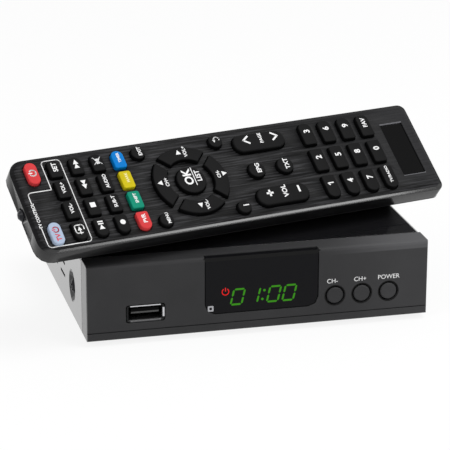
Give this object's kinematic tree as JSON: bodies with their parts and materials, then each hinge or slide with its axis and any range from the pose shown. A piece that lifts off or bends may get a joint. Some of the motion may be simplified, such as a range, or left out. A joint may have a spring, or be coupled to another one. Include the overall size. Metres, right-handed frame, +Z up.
{
  "type": "terrestrial television receiver",
  "caption": "Flat black set-top receiver with display window, data socket and push buttons, its remote control leaning on the cover.",
  "frame": {"origin": "middle of the footprint of the whole set, on the surface that the feet stand on", "axes": "+X to the right seen from the front, +Y from the front panel to the rear panel, +Z up"},
  "size_m": [0.1718, 0.1114, 0.0657],
  "materials": {
    "tray_metal": "satin black paint",
    "gloss_cover": "gloss black paint",
    "panel_plastic": "fine matt texture",
    "smoked_window": "polished, smoked",
    "black_package": "moulded",
    "red_lens": "clear tinted",
    "circuit_board": "solder mask",
    "plated_metal": "nickel plate",
    "bare_aluminium": "extruded",
    "tinned_metal": "tin plate",
    "black_screw": "black oxide",
    "foot_rubber": "matt",
    "remote_casing": "long brushed grooves, satin",
    "remote_back": "fine texture",
    "key_rubber": "matt silicone",
    "clear_lamp": "clear tinted",
    "cell_sleeve": "printed sleeve, left plain",
    "red_rubber": "matt silicone",
    "pale_rubber": "matt silicone",
    "blue_rubber": "matt silicone",
    "yellow_rubber": "matt silicone",
    "green_rubber": "matt silicone"
  },
  "bodies": {
    "receiver": {"base_tray": "tray_metal", "top_cover": "gloss_cover", "front_panel": "panel_plastic", "display_window": "smoked_window", "display_module": "black_package", "standby_lamp": "red_lens", "infrared_receiver": "black_package", "front_board": "circuit_board", "front_board_header": "black_package", "usb_socket_shell": "plated_metal", "usb_contact_tongue": "black_package", "main_board": "circuit_board", "system_chip": "black_package", "heat_sink": "bare_aluminium", "capacitor": "black_package", "tuner_can": "tinned_metal", "antenna_input_socket": "plated_metal", "antenna_output_plug": "plated_metal", "video_socket": "plated_metal", "scart_socket": "black_package", "power_inlet": "black_package", "side_screw_left": "black_screw", "side_screw_right": "black_screw", "board_screw_1": "tinned_metal", "board_screw_2": "tinned_metal", "board_screw_3": "tinned_metal", "board_screw_4": "tinned_metal", "foot_1": "foot_rubber", "foot_2": "foot_rubber", "foot_3": "foot_rubber", "foot_4": "foot_rubber", "channel_down_switch": "black_package", "channel_up_switch": "black_package", "power_switch": "black_package"},
    "channel_down_push": {"channel_down_button": "panel_plastic"},
    "channel_up_push": {"channel_up_button": "panel_plastic"},
    "power_push": {"power_button": "panel_plastic"},
    "remote": {"remote_top_shell": "remote_casing", "remote_bottom_shell": "remote_back", "remote_keypad": "key_rubber", "remote_circuit_board": "circuit_board", "remote_infrared_lamp": "clear_lamp", "battery_left": "cell_sleeve", "battery_right": "cell_sleeve", "battery_contact_inner": "plated_metal", "battery_contact_outer": "plated_metal"},
    "battery_door": {"battery_cover": "remote_back"},
    "remote_power_push": {"remote_power_key": "red_rubber"},
    "tv_power_push": {"tv_power_key": "pale_rubber"},
    "blue_push": {"blue_key": "blue_rubber"},
    "yellow_push": {"yellow_key": "yellow_rubber"},
    "green_push": {"green_key": "green_rubber"},
    "red_push": {"red_key": "red_rubber"},
    "ok_push": {"ok_key": "key_rubber"},
    "right_push": {"right_key": "key_rubber"},
    "up_push": {"up_key": "key_rubber"},
    "left_push": {"left_key": "key_rubber"},
    "down_push": {"down_key": "key_rubber"},
    "page_tip": {"page_rocker": "key_rubber"},
    "volume_tip": {"volume_rocker": "key_rubber"}
  },
  "joints": [
    {"name": "channel_down_press", "type": "slide", "parent": "receiver", "child": "channel_down_push", "axis": [0, 1, 0], "range_m": [0, 0.00025], "stiffness_N_per_m": 500},
    {"name": "channel_up_press", "type": "slide", "parent": "receiver", "child": "channel_up_push", "axis": [0, 1, 0], "range_m": [0, 0.00025], "stiffness_N_per_m": 500},
    {"name": "power_press", "type": "slide", "parent": "receiver", "child": "power_push", "axis": [0, 1, 0], "range_m": [0, 0.00025], "stiffness_N_per_m": 500},
    {"name": "remote_lift", "type": "slide", "parent": "receiver", "child": "remote", "axis": [0, 0, 1], "range_m": [0, 0.12]},
    {"name": "battery_cover_slide", "type": "slide", "parent": "remote", "child": "battery_door", "axis": [0.969, 0.247, 0], "range_m": [0, 0.066]},
    {"name": "remote_power_press", "type": "slide", "parent": "remote", "child": "remote_power_push", "axis": [-0.1554, 0.6098, -0.7771], "range_m": [0, 0.0008], "stiffness_N_per_m": 500},
    {"name": "tv_power_press", "type": "slide", "parent": "remote", "child": "tv_power_push", "axis": [-0.1554, 0.6098, -0.7771], "range_m": [0, 0.0008], "stiffness_N_per_m": 500},
    {"name": "blue_press", "type": "slide", "parent": "remote", "child": "blue_push", "axis": [-0.1554, 0.6098, -0.7771], "range_m": [0, 0.0008], "stiffness_N_per_m": 500},
    {"name": "yellow_press", "type": "slide", "parent": "remote", "child": "yellow_push", "axis": [-0.1554, 0.6098, -0.7771], "range_m": [0, 0.0008], "stiffness_N_per_m": 500},
    {"name": "green_press", "type": "slide", "parent": "remote", "child": "green_push", "axis": [-0.1554, 0.6098, -0.7771], "range_m": [0, 0.0008], "stiffness_N_per_m": 500},
    {"name": "red_press", "type": "slide", "parent": "remote", "child": "red_push", "axis": [-0.1554, 0.6098, -0.7771], "range_m": [0, 0.0008], "stiffness_N_per_m": 500},
    {"name": "ok_press", "type": "slide", "parent": "remote", "child": "ok_push", "axis": [-0.1554, 0.6098, -0.7771], "range_m": [0, 0.0008], "stiffness_N_per_m": 500},
    {"name": "right_press", "type": "slide", "parent": "remote", "child": "right_push", "axis": [-0.1554, 0.6098, -0.7771], "range_m": [0, 0.0008], "stiffness_N_per_m": 500},
    {"name": "up_press", "type": "slide", "parent": "remote", "child": "up_push", "axis": [-0.1554, 0.6098, -0.7771], "range_m": [0, 0.0008], "stiffness_N_per_m": 500},
    {"name": "left_press", "type": "slide", "parent": "remote", "child": "left_push", "axis": [-0.1554, 0.6098, -0.7771], "range_m": [0, 0.0008], "stiffness_N_per_m": 500},
    {"name": "down_press", "type": "slide", "parent": "remote", "child": "down_push", "axis": [-0.1554, 0.6098, -0.7771], "range_m": [0, 0.0008], "stiffness_N_per_m": 500},
    {"name": "page_tip_hinge", "type": "hinge", "parent": "remote", "child": "page_tip", "pos_m": [0.01303, -0.00634, 0.05931], "axis": [-0.192, 0.7531, 0.6293], "range_deg": [-2.5, 2.5], "stiffness_Nm_per_rad": 0.1},
    {"name": "volume_tip_hinge", "type": "hinge", "parent": "remote", "child": "volume_tip", "pos_m": [0.01777, -0.02496, 0.04375], "axis": [-0.192, 0.7531, 0.6293], "range_deg": [-2.5, 2.5], "stiffness_Nm_per_rad": 0.1}
  ]
}
